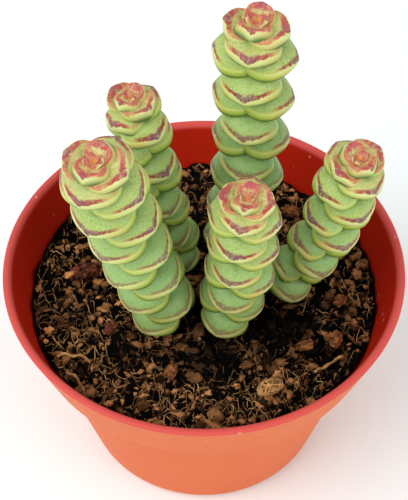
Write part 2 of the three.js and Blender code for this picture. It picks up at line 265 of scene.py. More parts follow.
def soil_height(x, y):
    """Height of the potting mix, with its clods and the hollow round each stem."""
    coarse = 0.55 * np.sin(0.61 * x + 1.3 * np.sin(0.37 * y + 0.6)) * np.cos(0.53 * y + 0.9)
    clods = 0.5 * np.sin(1.31 * x + 0.8 * np.sin(0.9 * y)) * np.sin(1.17 * y - 0.7 * np.sin(x))
    crumbs = 0.22 * np.sin(2.3 * x + 1.9) * np.cos(2.1 * y + 0.4 * x)
    height = SOIL_LEVEL + coarse + clods + crumbs
    for stem in STEMS.values():
        away = np.hypot(x - stem["root"][0], y - stem["root"][1]) - SOIL["pit_radius"]
        level = smoothstep(away, 0.0, SOIL["pit_blend"])
        height = mix(SOIL_LEVEL - SOIL["pit_depth"], height, level)
    return height - SOIL["edge_fall"] * (np.hypot(x, y) / SOIL_RADIUS) ** 8


# Mesh makers


def make_piece(name, points, faces, material, nodes=(), attributes=None):
    """A mesh piece from points in millimetres, riding with the pot and standing for its nodes."""
    mesh = bpy.data.meshes.new(name)
    mesh.from_pydata([tuple(p) for p in np.asarray(points) * MM], [], faces)
    mesh.validate()
    for key, values in (attributes or {}).items():
        mesh.attributes.new(key, "FLOAT", "POINT").data.foreach_set("value", values)
    mesh.polygons.foreach_set("use_smooth", [True] * len(mesh.polygons))
    mesh.materials.append(material)
    piece = bpy.data.objects.new(name, mesh)
    bpy.context.collection.objects.link(piece)
    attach(piece, BODY)
    if nodes:
        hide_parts(*nodes)
    return piece


def band_faces(rows, columns):
    """Four-sided faces between rows of points that run round, each row after the last."""
    faces = []
    for row in range(rows - 1):
        for column in range(columns):
            a = row * columns + column
            b = row * columns + (column + 1) % columns
            faces.append((a, b, b + columns, a + columns))
    return faces


class Heap:
    """Gathers the points, faces and attributes of many small shapes into one mesh."""

    def __init__(self, *keys):
        self.points = []
        self.faces = []
        self.values = {key: [] for key in keys}
        self.count = 0

    def add(self, points, faces, **values):
        points = np.asarray(points, dtype=float)
        self.points.append(points)
        self.faces.extend(tuple(i + self.count for i in face) for face in faces)
        self.count += len(points)
        for key, value in values.items():
            self.values[key].append(np.broadcast_to(np.asarray(value, dtype=float), len(points)))

    def all_points(self):
        return np.concatenate(self.points)

    def all_values(self):
        return {key: np.concatenate(parts) for key, parts in self.values.items()}


def tube(path, radii, sides):
    """A closed tube along points in millimetres, with a radius at each one."""
    path = np.asarray(path, dtype=float)
    heading = np.gradient(path, axis=0)
    heading /= np.linalg.norm(heading, axis=1)[:, None]
    side = np.cross(heading, (0.31, 0.17, 0.94))
    side /= np.linalg.norm(side, axis=1)[:, None]
    over = np.cross(heading, side)
    turns = np.arange(sides) * 2 * math.pi / sides
    radii = np.asarray(radii, dtype=float)[:, None, None]
    ring = np.cos(turns)[None, :, None] * side[:, None, :] + np.sin(turns)[None, :, None] * over[:, None, :]
    points = (path[:, None, :] + radii * ring).reshape(-1, 3)
    faces = band_faces(len(path), sides)
    last = (len(path) - 1) * sides
    faces.append(tuple(range(sides))[::-1])
    faces.append(tuple(range(last, last + sides)))
    return points, faces


def ball(detail):
    """Points and triangles of a ball split evenly, as an array and a list."""
    mesh = bpy.data.meshes.new("ball")
    shape = bmesh.new()
    bmesh.ops.create_icosphere(shape, subdivisions=detail, radius=1.0)
    shape.to_mesh(mesh)
    shape.free()
    points = np.array([v.co for v in mesh.vertices])
    faces = [tuple(p.vertices) for p in mesh.polygons]
    bpy.data.meshes.remove(mesh)
    return points, faces


def lumpy(points, seed, amount, scale):
    """Pushes points in and out by smooth noise, to make a ball an uneven lump."""
    offset = Vector((seed * 7.3, seed * 3.1, seed * 5.7))
    push = [noise.noise(Vector(p) * scale + offset) for p in points]
    return points * (1 + amount * np.array(push))[:, None]


# Finishes


class Graph:
    """A node tree, with one short call for each kind of node that the finishes are made of."""

    def __init__(self, tree):
        self.tree = tree

    def feed(self, socket, value):
        if isinstance(value, bpy.types.NodeSocket):
            self.tree.links.new(value, socket)
        elif isinstance(value, tuple) and len(value) == 3 and socket.type == "RGBA":
            socket.default_value = (*value, 1.0)
        else:
            socket.default_value = value

    def math(self, operation, a, b, clamp=False):
        made = self.tree.nodes.new("ShaderNodeMath")
        made.operation = operation
        made.use_clamp = clamp
        self.feed(made.inputs[0], a)
        self.feed(made.inputs[1], b)
        return made.outputs[0]

    def blend(self, share, a, b):
        """Colour a, going over to colour b as share goes to 1."""
        made = self.tree.nodes.new("ShaderNodeMix")
        made.data_type = "RGBA"
        made.clamp_factor = True
        self.feed(made.inputs[0], share)
        self.feed(made.inputs[6], a)
        self.feed(made.inputs[7], b)
        return made.outputs[2]

    def rise(self, value, low, high):
        """0 below low and 1 above high, with a smooth step between them."""
        made = self.tree.nodes.new("ShaderNodeMapRange")
        made.interpolation_type = "SMOOTHSTEP"
        self.feed(made.inputs["Value"], value)
        self.feed(made.inputs["From Min"], low)
        self.feed(made.inputs["From Max"], high)
        return made.outputs[0]

    def fall(self, value, low, high):
        """1 below low and 0 above high, with a smooth step between them."""
        return self.less(1.0, self.rise(value, low, high))

    def plus(self, a, b):
        return self.math("ADD", a, b)

    def times(self, a, b):
        return self.math("MULTIPLY", a, b)

    def less(self, a, b):
        return self.math("SUBTRACT", a, b)

    def noise(self, place, scale, detail, roughness):
        made = self.tree.nodes.new("ShaderNodeTexNoise")
        self.feed(made.inputs["Vector"], place)
        self.feed(made.inputs["Scale"], scale)
        self.feed(made.inputs["Detail"], detail)
        self.feed(made.inputs["Roughness"], roughness)
        return made.outputs[0]

    def attribute(self, name):
        made = self.tree.nodes.new("ShaderNodeAttribute")
        made.attribute_name = name
        return made.outputs["Fac"]

    def place(self):
        """Where the surface point is on the object, in metres."""
        return self.tree.nodes.new("ShaderNodeTexCoord").outputs["Object"]

    def group(self, group, **inputs):
        made = self.tree.nodes.new("ShaderNodeGroup")
        made.node_tree = group
        for key, value in inputs.items():
            self.feed(made.inputs[key.replace("_", " ")], value)
        return made.outputs[0]


def new_group(name, inputs, outputs):
    """An empty shader node group, with its graph and the nodes at its two ends."""
    group = bpy.data.node_groups.new(name, "ShaderNodeTree")
    for label, default, low, high in inputs:
        socket = group.interface.new_socket(label, in_out="INPUT", socket_type="NodeSocketFloat")
        socket.default_value = default
        socket.min_value = low
        socket.max_value = high
    for label in outputs:
        group.interface.new_socket(label, in_out="OUTPUT", socket_type="NodeSocketFloat")
    start = group.nodes.new("NodeGroupInput")
    end = group.nodes.new("NodeGroupOutput")
    return group, Graph(group), start.outputs, end.inputs


def specks_group():
    """Small dots strewn over a surface: how many to a metre, the share that shows and their radius."""
    name = "Strewn specks"
    if name in bpy.data.node_groups:
        return bpy.data.node_groups[name]
    group, graph, given, result = new_group(
        name,
        [("Per metre", 2000.0, 1.0, 20000.0), ("Share", 0.5, 0.0, 1.0), ("Radius", 0.3, 0.0, 1.0)],
        ["Mask"],
    )
    cells = group.nodes.new("ShaderNodeTexVoronoi")
    graph.feed(cells.inputs["Vector"], graph.place())
    graph.feed(cells.inputs["Scale"], given["Per metre"])
    near = graph.fall(cells.outputs["Distance"], 0.0, given["Radius"])
    draw = group.nodes.new("ShaderNodeSeparateColor")
    graph.feed(draw.inputs[0], cells.outputs["Color"])
    chosen = graph.math("LESS_THAN", draw.outputs[0], given["Share"])
    graph.feed(result["Mask"], graph.math("MULTIPLY", near, chosen, clamp=True))
    return group


def mottle_group():
    """Soft cloudy patches, from coarse and fine noise added together."""
    name = "Mottled surface"
    if name in bpy.data.node_groups:
        return bpy.data.node_groups[name]
    group, graph, given, result = new_group(
        name,
        [("Per metre", 200.0, 1.0, 20000.0), ("Contrast", 1.0, 0.0, 4.0)],
        ["Value"],
    )
    place = graph.place()
    coarse = graph.noise(place, given["Per metre"], 4.0, 0.55)
    fine = graph.noise(place, graph.times(given["Per metre"], 6.0), 3.0, 0.6)
    both = graph.plus(graph.times(coarse, 0.7), graph.times(fine, 0.3))
    spread = graph.times(graph.less(both, 0.5), given["Contrast"])
    graph.feed(result["Value"], graph.math("ADD", spread, 0.5, clamp=True))
    return group


def new_material(name):
    """A material with only its output and its skin shader, and the graph to build on."""
    material = bpy.data.materials.new(name)
    material.use_nodes = True
    tree = material.node_tree
    tree.nodes.clear()
    output = tree.nodes.new("ShaderNodeOutputMaterial")
    skin = tree.nodes.new("ShaderNodeBsdfPrincipled")
    tree.links.new(skin.outputs[0], output.inputs["Surface"])
    return material, skin, Graph(tree)


def bump(graph, skin, height, distance, strength):
    """Fine relief on the skin: height in shares of a distance in metres."""
    made = graph.tree.nodes.new("ShaderNodeBump")
    made.inputs["Strength"].default_value = strength
    made.inputs["Distance"].default_value = distance
    graph.feed(made.inputs["Height"], height)
    graph.feed(skin.inputs["Normal"], made.outputs[0])


def leaf_material(leaf):
    """Waxy green skin with a speckled red line inside the margin, broad and pink at the crown."""
    name = "leaf_skin"
    if name in bpy.data.materials:
        return bpy.data.materials[name]
    material, skin, g = new_material(name)
    margin = g.attribute("margin")
    along = g.attribute("along")
    age = g.attribute("age")
    inner = g.attribute("inner")
    own = g.attribute("own")
    mottle = mottle_group()
    specks = specks_group()
    cloud = g.group(mottle, Per_metre=450.0, Contrast=2.2)
    grain = g.group(mottle, Per_metre=1900.0, Contrast=3.0)
    sugar = g.noise(g.place(), 5200.0, 2.0, 0.6)
    young = g.fall(age, 1.2, 4.6)
    tip_share = g.fall(along, 0.0, 0.5)

    # Upper face: greyish mint by the stem, fresher by the tip, with a fine sugary grain
    face = g.blend(g.rise(inner, 0.45, 1.0), tuple(leaf.mint), tuple(leaf.green))
    face = g.blend(g.times(cloud, 0.4), face, tuple(leaf.lime))
    face = g.blend(g.times(g.rise(sugar, 0.48, 0.66), 0.5), face, tuple(leaf.frost))
    face = g.blend(g.times(young, 0.8), face, tuple(leaf.pale))
    face = g.blend(g.times(g.rise(age, 4.0, 10.0), 0.55), face, tuple(leaf.old))
    dark = g.group(specks, Per_metre=2500.0, Share=0.55, Radius=0.46)
    dark = g.times(dark, g.rise(g.times(inner, g.plus(grain, 0.15)), 0.25, 0.6))
    face = g.blend(g.times(dark, 0.7), face, tuple(leaf.speck))

    # Rim under the line: pale at the tip, lime at the ends, with a golden tint between them
    golden = g.times(g.rise(along, 0.25, 0.6), g.fall(along, 0.8, 1.0))
    golden = g.times(g.times(golden, own), g.fall(age, 7.0, 11.0))
    rim = g.blend(g.rise(along, 0.35, 1.0), tuple(leaf.rim), tuple(leaf.lime))
    rim = g.blend(g.times(golden, 0.4), rim, tuple(leaf.gold))
    rim = g.blend(g.times(young, 0.4), rim, tuple(leaf.cream))
    flush = g.times(g.fall(age, 0.8, 3.0), g.times(g.rise(along, 0.3, 0.9), cloud))
    rim = g.blend(g.times(flush, 0.3), rim, tuple(leaf.pink))
    # Painted highlight: a pale cream stripe along the rim just under the line stands for the gloss on its
    # rounded edge.
    edge = g.times(g.rise(margin, -0.75, -0.4), g.fall(margin, -0.3, -0.05))
    rim = g.blend(g.times(edge, 0.35), rim, tuple(leaf.cream))
    # Painted shade: further below the line the rim goes over to the dark underside colour, darkening the
    # crevice under each leaf.
    rim = g.blend(g.fall(margin, -1.7, -0.7), rim, tuple(leaf.under))
    body = g.blend(g.rise(margin, -0.2, 0.15), rim, face)

    # The line: a broad grey-purple patch at the tip, thinner and orange towards the ends
    ragged = g.plus(g.times(g.less(cloud, 0.5), 0.45), g.times(g.less(grain, 0.5), 0.5))
    off = g.plus(margin, g.times(ragged, g.plus(0.45, g.times(tip_share, 0.55))))
    width = g.plus(0.42, g.times(tip_share, g.plus(0.62, g.times(young, -0.2))))
    width = g.plus(width, g.times(young, 0.42))
    width = g.times(width, g.plus(0.72, g.times(own, 0.4)))
    above = g.fall(g.math("DIVIDE", off, width), 0.66, 1.04)
    lower = g.times(g.fall(age, 0.8, 2.4), 0.35)
    below = g.rise(g.plus(off, lower), -0.22, -0.08)
    reach = g.plus(along, g.times(ragged, 0.25))
    ends = g.fall(reach, 0.6, 0.84)
    ends = g.math("MAXIMUM", ends, g.times(young, 0.85))
    line = g.times(g.times(above, below), ends)
    line = g.times(line, g.plus(0.6, g.times(g.rise(grain, 0.2, 0.6), 0.4)))
    line = g.times(line, g.plus(0.62, g.times(g.fall(age, 5.0, 12.0), 0.36)))
    hue = g.blend(g.rise(along, 0.12, 0.42), tuple(leaf.apex), tuple(leaf.line))
    hue = g.blend(g.rise(along, 0.5, 0.85), hue, tuple(leaf.line_end))
    rosy = g.times(g.fall(age, 0.8, 4.2), g.plus(0.45, g.times(g.rise(along, 0.05, 0.4), 0.4)))
    hue = g.blend(rosy, hue, tuple(leaf.pink))
    hue = g.blend(g.times(g.rise(age, 5.5, 10.0), 0.75), hue, tuple(leaf.faded))
    body = g.blend(line, body, hue)

    # Blush over the young leaves, gold in the bud's crevice, and white crystals by the tip
    spotted = g.rise(g.plus(g.times(cloud, 0.6), g.times(grain, 0.4)), 0.46, 0.6)
    blush = g.times(g.fall(age, 1.0, 4.2), g.rise(margin, -0.2, 0.3))
    blush = g.times(blush, g.plus(0.1, g.times(spotted, 0.5)))
    body = g.blend(blush, body, tuple(leaf.pink))
    crevice = g.times(g.fall(age, 0.6, 1.4), g.fall(inner, 0.1, 0.55))
    body = g.blend(g.times(crevice, 0.8), body, tuple(leaf.gold))
    white = g.group(specks, Per_metre=3400.0, Share=0.4, Radius=0.38)
    patch = g.times(g.rise(tip_share, 0.45, 0.9), g.times(above, g.rise(off, -0.4, -0.05)))
    crystals = g.times(g.times(white, patch), g.rise(age, 1.5, 4.0))
    body = g.blend(g.times(crystals, 0.7), body, tuple(leaf.crystal))

    g.feed(skin.inputs["Base Color"], body)
    g.feed(skin.inputs["Roughness"], g.plus(0.34, g.times(grain, 0.22)))
    skin.inputs["Subsurface Weight"].default_value = 0.15
    skin.inputs["Subsurface Radius"].default_value = (0.8, 1.0, 0.35)
    skin.inputs["Subsurface Scale"].default_value = 0.0006
    skin.inputs["Specular IOR Level"].default_value = 0.4
    relief = g.plus(g.times(grain, 0.5), g.times(sugar, 0.35))
    bump(g, skin, g.plus(relief, g.times(crystals, 0.5)), 0.00009, 0.7)
    return material


def pot_material(pot):
    """Moulded plastic, slightly mottled and scuffed, with a pinker rim and inside."""
    name = "moulded_plastic"
    if name in bpy.data.materials:
        return bpy.data.materials[name]
    material, skin, g = new_material(name)
    inside = g.attribute("inside")
    lip = g.attribute("lip")
    cloud = g.group(mottle_group(), Per_metre=70.0, Contrast=1.6)
    fine = g.group(mottle_group(), Per_metre=900.0, Contrast=2.0)
    wall = g.blend(g.times(cloud, 0.45), tuple(pot.wall_colour), tuple(pot.wall_shade))
    wall = g.blend(inside, wall, tuple(pot.inside_colour))
    wall = g.blend(lip, wall, tuple(pot.lip_colour))
    scuffs = g.group(specks_group(), Per_metre=420.0, Share=0.18, Radius=0.16)
    wall = g.blend(g.times(scuffs, 0.55), wall, tuple(pot.scuff_colour))
    g.feed(skin.inputs["Base Color"], wall)
    g.feed(skin.inputs["Roughness"], g.plus(0.4, g.times(fine, 0.2)))
    skin.inputs["Specular IOR Level"].default_value = 0.07
    bump(g, skin, fine, 0.00006, 0.5)
    return material


def soil_material(soil, name, dark, light):
    """Crumbs and fibres: dark in the hollows, as painted shade, rust brown on what stands up."""
    if name in bpy.data.materials:
        return bpy.data.materials[name]
    material, skin, g = new_material(name)
    tone = g.attribute("tone")
    cloud = g.group(mottle_group(), Per_metre=380.0, Contrast=2.4)
    fine = g.group(mottle_group(), Per_metre=1800.0, Contrast=2.6)
    patch = g.group(mottle_group(), Per_metre=130.0, Contrast=3.6)
    lit = g.times(g.plus(0.35, g.times(cloud, 1.1)), g.plus(0.4, g.times(patch, 1.2)))
    share = g.math("MULTIPLY", tone, lit, clamp=True)
    body = g.blend(share, tuple(dark), tuple(light))
    body = g.blend(g.times(g.rise(fine, 0.6, 0.85), tone), body, tuple(soil.rust))
    g.feed(skin.inputs["Base Color"], body)
    g.feed(skin.inputs["Roughness"], g.plus(0.6, g.times(fine, 0.35)))
    skin.inputs["Specular IOR Level"].default_value = 0.06
    bump(g, skin, fine, 0.0002, 0.8)
    return material


# Settings


def colour(label, about, value):
    return bpy.props.FloatVectorProperty(
        name=label, description=about, subtype="COLOR", size=3, min=0.0, max=1.0, default=value
    )


class PotSettings(bpy.types.PropertyGroup):
    """Colours and fineness of the pot."""

    sides: bpy.props.IntProperty(
        name="Sides", description="Faces round the pot", default=192, min=48, max=384
    )
    wall_colour: colour("Wall", "Outside of the wall and band", srgb(220, 113, 66))
    wall_shade: colour("Wall shade", "Darker patches of the outside", srgb(206, 93, 50))
    inside_colour: colour("Inside", "Inside of the wall", srgb(174, 32, 12))
    lip_colour: colour("Lip", "Top edge of the rim", srgb(206, 82, 76))
    scuff_colour: colour("Scuffs", "Pale scuffs and specks", srgb(250, 200, 180))


class SoilSettings(bpy.types.PropertyGroup):
    """Colours and amounts of the potting mix."""

    cells: bpy.props.IntProperty(
        name="Cells", description="Cells across the surface of the mix", default=200, min=40, max=260
    )
    crumbs: bpy.props.IntProperty(
        name="Crumbs", description="Loose crumbs strewn on the mix", default=2200, min=0, max=2400
    )
    fibres: bpy.props.IntProperty(
        name="Fibres", description="Thin coir fibres on the mix", default=3200, min=0, max=4000
    )
    # Dark is both the mix's own dark brown and the painted shade of its low places and hollows; light is
    # the colour of what stands up.
    dark: colour("Damp mix", "Mix in the hollows", srgb(5, 4, 3))
    light: colour("Dry mix", "Mix on the clods", srgb(222, 154, 98))
    rust: colour("Rust", "Orange-brown grains", srgb(204, 118, 58))
    # Dark bark is also the painted shade in the chips' dents and undersides, and the light bark and clod
    # colours the painted light on their tops and bumps.
    bark_dark: colour("Dark bark", "Bark in shade", srgb(46, 26, 16))
    bark_light: colour("Light bark", "Dry face of the bark", srgb(168, 106, 62))
    clod_light: colour("Reddish clod", "Dry face of the clods", srgb(124, 66, 52))
    straw: colour("Straw", "Dry golden fibre", srgb(250, 196, 126))
    straw_dark: colour("Brown straw", "Older fibre", srgb(100, 60, 32))


class LeafSettings(bpy.types.PropertyGroup):
    """Colours of the leaves."""

    mint: colour("Mint", "Upper face by the stem", srgb(148, 180, 104))
    green: colour("Green", "Upper face by the tip", srgb(164, 180, 86))
    pale: colour("Pale", "Upper face of the young leaves", srgb(204, 204, 128))
    old: colour("Old", "Upper face of the lowest leaves", srgb(122, 172, 106))
    frost: colour("Frost", "Sugary grain of the upper face", srgb(196, 222, 172))
    lime: colour("Lime", "Rim by a leaf's ends", srgb(166, 186, 72))
    rim: colour("Rim", "Pale rim under the line", srgb(192, 203, 120))
    # Cream also paints the highlight along the rim's edge.
    cream: colour("Cream", "Rim of the young leaves, and its edge", srgb(222, 218, 152))
    gold: colour("Gold", "Tint of the rim between tip and ends", srgb(222, 160, 62))
    # The underside colour is partly the leaf's own green and partly painted shade in the crevices between
    # the leaves.
    under: colour("Underside", "Underside of a leaf", srgb(80, 112, 36))
    speck: colour("Specks", "Dark specks of the upper face", srgb(74, 118, 66))
    apex: colour("Apex", "Grey-purple patch at a leaf's tip", srgb(122, 62, 80))
    line: colour("Line", "Red line inside the margin", srgb(144, 40, 44))
    line_end: colour("Line end", "The line by a leaf's ends", srgb(198, 112, 58))
    pink: colour("Blush", "Young leaves at the crown", srgb(190, 68, 78))
    faded: colour("Faded line", "The line on the oldest leaves", srgb(142, 90, 68))
    crystal: colour("Crystals", "White crystals at the tip", srgb(236, 228, 214))


class StageSettings(bpy.types.PropertyGroup):
    """Floor and lights."""

    floor_colour: colour("Floor", "Plain pale floor", srgb(243, 251, 251))
    floor_size: bpy.props.FloatProperty(
        name="Floor size", description="Radius of the floor", default=1.6, unit="LENGTH"
    )
    key_power: bpy.props.FloatProperty(
        name="Key light", description="Power of the soft light at the left", default=4.0, unit="POWER"
    )
    fill_power: bpy.props.FloatProperty(
        name="Fill light", description="Power of the soft light at the right", default=1.7, unit="POWER"
    )
    sky: bpy.props.FloatProperty(
        name="Sky", description="Brightness of the even light from all round", default=0.72
    )


class SucculentSettings(bpy.types.PropertyGroup):
    """All settings of the potted succulent."""

    pot: bpy.props.PointerProperty(type=PotSettings)
    soil: bpy.props.PointerProperty(type=SoilSettings)
    leaf: bpy.props.PointerProperty(type=LeafSettings)
    stage: bpy.props.PointerProperty(type=StageSettings)


def settings():
    return bpy.context.scene.succulent


# Stage


class SUCCULENT_OT_stage(bpy.types.Operator):
    """Add the floor, the soft lights and the camera at the photograph's viewing angle"""

    bl_idname = "succulent.stage"
    bl_label = "Stage"

    def execute(self, context):
        stage = settings().stage
        self.add_camera(context)
        self.add_floor(stage)
        self.add_light("key", stage.key_power, KEY)
        self.add_light("fill", stage.fill_power, FILL)
        world = bpy.data.worlds.new("even_sky")
        world.use_nodes = True
        sky = world.node_tree.nodes["Background"]
        sky.inputs["Color"].default_value = (1.0, 1.0, 1.0, 1.0)
        sky.inputs["Strength"].default_value = stage.sky
        context.scene.world = world
        context.scene.view_settings.view_transform = "Standard"
        return {"FINISHED"}

    def add_camera(self, context):
        data = bpy.data.cameras.new("camera")
        data.sensor_width = CAMERA["sensor"]
        data.lens = CAMERA["lens"]
        camera = bpy.data.objects.new("camera", data)
        context.collection.objects.link(camera)
        up = math.radians(CAMERA["elevation"])
        distance = CAMERA["distance"] * MM
        rim = POT["height"] * MM
        camera.location = (0.0, -distance * math.cos(up), distance * math.sin(up) + rim)
        camera.rotation_euler = (math.radians(90 - CAMERA["pitch"]), 0.0, 0.0)
        data.clip_start = CAMERA["near"] * MM
        context.scene.camera = camera

    def add_floor(self, stage):
        material, skin, g = new_material("pale_floor")
        cloud = g.group(mottle_group(), Per_metre=8.0, Contrast=0.5)
        pale = tuple(stage.floor_colour)
        shade = tuple(channel * FLOOR_SHADE for channel in pale)
        g.feed(skin.inputs["Base Color"], g.blend(cloud, pale, shade))
        skin.inputs["Roughness"].default_value = 0.85
        skin.inputs["Specular IOR Level"].default_value = 0.2
        turns = [i * 2 * math.pi / FLOOR_SIDES for i in range(FLOOR_SIDES)]
        rim = [(stage.floor_size * math.cos(t), stage.floor_size * math.sin(t), 0.0) for t in turns]
        mesh = bpy.data.meshes.new("floor")
        mesh.from_pydata(rim, [], [tuple(range(FLOOR_SIDES))])
        mesh.materials.append(material)
        floor = bpy.data.objects.new("floor", mesh)
        bpy.context.collection.objects.link(floor)

    def add_light(self, name, power, lamp):
        data = bpy.data.lights.new(name, "AREA")
        data.energy = power
        data.shape = "DISK"
        data.size = lamp["size"]
        light = bpy.data.objects.new(name, data)
        bpy.context.collection.objects.link(light)
        light.location = lamp["place"]
        aim = Vector(LIT_POINT) - light.location
        light.rotation_euler = aim.to_track_quat("-Z", "Y").to_euler()


# Pot


def rounded(points, radius):
    """A profile whose inner corners are rounded off by short arcs."""
    made = [points[0]]
    for before, corner, after in zip(points, points[1:], points[2:]):
        corner_point = np.array(corner)
        back = np.array(before) - corner_point
        ahead = np.array(after) - corner_point
        cut = min(radius, 0.45 * np.linalg.norm(back), 0.45 * np.linalg.norm(ahead))
        start = corner_point + back / np.linalg.norm(back) * cut
        end = corner_point + ahead / np.linalg.norm(ahead) * cut
        for i in range(ROUND_STEPS + 1):
            t = i / ROUND_STEPS
            made.append(tuple(start * (1 - t) ** 2 + corner_point * 2 * t * (1 - t) + end * t * t))
    made.append(points[-1])
    return made


class SUCCULENT_OT_pot(bpy.types.Operator):
    """Add the shallow nursery pot, turned from one rounded profile"""

    bl_idname = "succulent.pot"
    bl_label = "Pot"

    def execute(self, context):
        pot = settings().pot
        collar_foot = POT["height"] - POT["collar_height"]
        lip_low = POT["height"] - POT["lip_round"]
        lip_inside = POT["rim"] - POT["lip"]
        band_low = lip_low - POT["lip_band"]
        widest = outer_radius(lip_low)
        fillet = POT["fillet"]
        profile = [
            (0.0, POT["recess"]),
            (POT["foot"] - POT["ring"] - POT["recess_bevel"], POT["recess"]),
            (POT["foot"] - POT["ring"], 0.0),
            (POT["foot"] - POT["foot_round"], 0.0),
            (POT["foot"] - 0.3 * POT["foot_round"], 0.3 * POT["foot_round"]),
            (outer_radius(POT["foot_round"]), POT["foot_round"]),
            (POT["neck"], collar_foot - fillet),
            (POT["neck"] + fillet / 2, collar_foot - fillet / 10),
            (POT["collar"] - fillet / 5, collar_foot),
            (outer_radius(collar_foot + POT["edge"]), collar_foot + POT["edge"]),
            (outer_radius(band_low), band_low),
            (widest, lip_low),
            (POT["rim"] - POT["lip_round"], POT["height"]),
            (lip_inside + POT["lip_round"], POT["height"]),
            (lip_inside, lip_low),
            (inner_radius(band_low), band_low),
            (inner_radius(collar_foot + POT["wall"] + 0.01), collar_foot + POT["wall"]),
            (POT["neck"] - POT["wall"], collar_foot + POT["ledge_foot"]),
            (inner_radius(POT["floor"]), POT["floor"]),
            (0.0, POT["floor"]),
        ]
        outline = np.array(rounded(profile, POT["edge"]))
        turned = outline[1:-1]
        turns = np.arange(pot.sides) * 2 * math.pi / pot.sides
        radii = turned[:, 0][:, None]
        points = np.stack(
            [radii * np.cos(turns), radii * np.sin(turns), np.repeat(turned[:, 1][:, None], pot.sides, 1)],
            axis=2,
        ).reshape(-1, 3)
        middle = len(points)
        points = np.vstack([points, [[0, 0, outline[0][1]]], [[0, 0, outline[-1][1]]]])
        faces = band_faces(len(turned), pot.sides)
        last = (len(turned) - 1) * pot.sides
        for i in range(pot.sides):
            after = (i + 1) % pot.sides
            faces.append((after, i, middle))
            faces.append((last + i, last + after, middle + 1))
        top = np.argmax(turned[:, 1])
        row = np.repeat(np.arange(len(turned)), pot.sides)
        inside = np.concatenate([(row > top + ROUND_STEPS + 1).astype(float), [0.0, 1.0]])
        height = points[:, 2]
        reach = np.hypot(points[:, 0], points[:, 1])
        top_edge = reach > inner_radius(SOIL_LEVEL - 1)
        lip = smoothstep(height, lip_low - 0.5, lip_low + 0.1) * top_edge
        piece = make_piece(
            "nursery_pot", points, faces, pot_material(pot), ["pot"],
            {"inside": inside, "lip": lip},
        )
        self.drill(context, piece)
        return {"FINISHED"}

    def drill(self, context, piece):
        """Cuts the drain holes through the floor."""
        shape = bmesh.new()
        for i in range(POT["drains"]):
            turn = (i + 0.5) / POT["drains"] * 2 * math.pi
            place = Vector((math.cos(turn), math.sin(turn), 0)) * POT["drain_circle"] * MM
            place.z = POT["floor"] / 2 * MM
            bmesh.ops.create_cone(
                shape, cap_ends=True, segments=DRAIN_SIDES, radius1=POT["drain"] * MM,
                radius2=POT["drain"] * MM, depth=3 * POT["floor"] * MM, matrix=Matrix.Translation(place),
            )
        mesh = bpy.data.meshes.new("drains")
        shape.to_mesh(mesh)
        shape.free()
        cutter = bpy.data.objects.new("drains", mesh)
        context.collection.objects.link(cutter)
        cut = piece.modifiers.new("drains", "BOOLEAN")
        cut.operation = "DIFFERENCE"
        cut.solver = "EXACT"
        cut.object = cutter
        context.view_layer.update()
        done = bpy.data.meshes.new_from_object(piece.evaluated_get(context.evaluated_depsgraph_get()))
        piece.modifiers.clear()
        piece.data = done
        bpy.data.objects.remove(cutter)


# Potting mix


def rough(x, y):
    """Fine relief of the mix: clumps, grains, shreds and pores, in millimetres."""
    spots = [Vector((x * waves, y * waves, seed)) for waves, _, seed in (CLUMPS, GRAINS, SHREDS, PORES)]
    clumps = CLUMPS[1] * (noise.turbulence(spots[0], 3, False) - CLUMP_MIDDLE)
    grains = GRAINS[1] * noise.noise(spots[1])
    shreds = SHREDS[1] * noise.noise(spots[2])
    return clumps + grains + shreds + PORES[1] * noise.cell(spots[3])


def openness(x, y):
    """0 in the hollows between the stems, which are darkened with painted shade, and 1 on open ground."""
    light = 1.0
    for at_x, at_y, size in SHADED_HOLLOWS:
        light = light * (1 - HOLLOW_SHADE * np.exp(-((x - at_x) ** 2 + (y - at_y) ** 2) / size**2))
    return light


